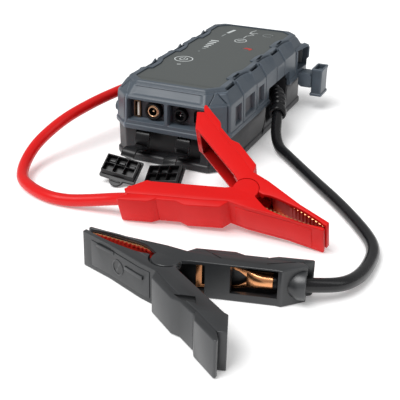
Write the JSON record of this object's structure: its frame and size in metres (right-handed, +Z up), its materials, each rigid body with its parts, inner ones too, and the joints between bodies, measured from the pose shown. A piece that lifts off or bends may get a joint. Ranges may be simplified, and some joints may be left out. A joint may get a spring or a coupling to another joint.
{
  "type": "jump starter pack",
  "caption": "Portable battery pack in an armoured housing with covered front ports, a side port and two cables ending in sprung battery clamps.",
  "frame": {"origin": "centre of the lower housing's flat bottom, on the floor", "axes": "+Z up, +Y from the port end to the lamp end, +X to the right seen from the port end"},
  "size_m": [0.3103, 0.4824, 0.0705],
  "materials": {
    "bumper_grey": "satin moulded blue-grey",
    "tub_dark": "fine texture, near black",
    "panel_dark": "flat matte dark grey",
    "key_dark": "flat matte dark grey",
    "rubber_black": "soft black",
    "port_black": "smooth black",
    "contact_gold": "plated, bright",
    "steel": "plated steel",
    "tongue_white": "off-white insulator",
    "board_green": "solder mask",
    "cell_wrap": "shrink wrap",
    "frame_black": "moulded black",
    "copper": "bright copper plating",
    "aluminium": "plain",
    "lens_clear": "clear lens",
    "clamp_red": "satin red moulding",
    "clamp_black": "satin black moulding",
    "cable_red": "smooth red jacket",
    "cable_black": "smooth black jacket"
  },
  "bodies": {
    "pack": {"upper_housing": "bumper_grey", "lower_housing": "tub_dark", "top_panel": "panel_dark", "usb_out_port": "steel", "usb_out_tongue": "tongue_white", "dc_out_jack": "port_black", "dc_out_contact": "contact_gold", "dc_in_jack": "port_black", "dc_in_contact": "steel", "micro_usb_port": "steel", "side_port_contact": "aluminium", "cover_strap_left": "rubber_black", "cover_strap_right": "rubber_black", "side_cover_strap": "bumper_grey", "main_board": "board_green", "led_board": "board_green", "lamp_board": "board_green", "lamp_lens": "lens_clear", "battery_cell_a": "cell_wrap", "battery_cell_b": "cell_wrap", "battery_cell_c": "cell_wrap", "battery_cell_d": "cell_wrap", "battery_frame": "frame_black", "busbar_positive": "copper", "busbar_negative": "copper", "power_relay": "port_black", "heat_sink": "aluminium", "housing_screw_1": "steel", "housing_screw_2": "steel", "housing_screw_3": "steel", "housing_screw_4": "steel", "red_cable": "cable_red", "red_cable_boot": "rubber_black", "black_cable": "cable_black", "black_cable_boot": "rubber_black", "red_cable_arm": "clamp_red", "red_fixed_jaw": "copper", "red_pivot_pin": "steel", "red_spring": "steel", "red_crimp": "copper", "black_cable_arm": "clamp_black", "black_fixed_jaw": "copper", "black_pivot_pin": "steel", "black_spring": "steel", "black_crimp": "copper"},
    "red_lever": {"red_lever_arm": "clamp_red", "red_moving_jaw": "copper"},
    "black_lever": {"black_lever_arm": "clamp_black", "black_moving_jaw": "copper"},
    "left_cover": {"port_cover_left": "rubber_black"},
    "right_cover": {"port_cover_right": "rubber_black"},
    "side_cover": {"side_port_cover": "bumper_grey"},
    "power": {"power_key": "key_dark"},
    "light": {"light_key": "key_dark"},
    "override": {"override_key": "key_dark"}
  },
  "joints": [
    {"name": "red_clamp_open", "type": "hinge", "parent": "pack", "child": "red_lever", "pos_m": [0.10238, -0.19024, 0.02358], "axis": [0.0438, -0.4334, 0.9002], "range_deg": [0, 22], "stiffness_Nm_per_rad": 1.2, "springref_deg": -34.38},
    {"name": "black_clamp_open", "type": "hinge", "parent": "pack", "child": "black_lever", "pos_m": [0.08765, -0.29801, 0.01325], "axis": [0, 0, 1], "range_deg": [0, 22], "stiffness_Nm_per_rad": 1.2, "springref_deg": -34.38},
    {"name": "left_cover_swing", "type": "hinge", "parent": "pack", "child": "left_cover", "pos_m": [0.00387, -0.12592, 0.0184], "axis": [0.9987, 0.0242, -0.0443], "range_deg": [-128.5, 0], "deforming": ["cover_strap_left"]},
    {"name": "right_cover_swing", "type": "hinge", "parent": "pack", "child": "right_cover", "pos_m": [-0.01057, -0.12272, 0.01577], "axis": [0.9929, -0.0735, 0.0936], "range_deg": [-124.5, 0], "deforming": ["cover_strap_right"]},
    {"name": "side_cover_swing", "type": "hinge", "parent": "pack", "child": "side_cover", "pos_m": [0.0495, 0.097, 0.0215], "axis": [0, 1, 0], "range_deg": [-90, 0], "deforming": ["side_cover_strap"]},
    {"name": "power_press", "type": "slide", "parent": "pack", "child": "power", "axis": [0, 0, -1], "range_m": [0, 0.0005], "stiffness_N_per_m": 900, "springref_m": -0.0008},
    {"name": "light_press", "type": "slide", "parent": "pack", "child": "light", "axis": [0, 0, -1], "range_m": [0, 0.0005], "stiffness_N_per_m": 900, "springref_m": -0.0008},
    {"name": "override_press", "type": "slide", "parent": "pack", "child": "override", "axis": [0, 0, -1], "range_m": [0, 0.0005], "stiffness_N_per_m": 900, "springref_m": -0.0008}
  ]
}
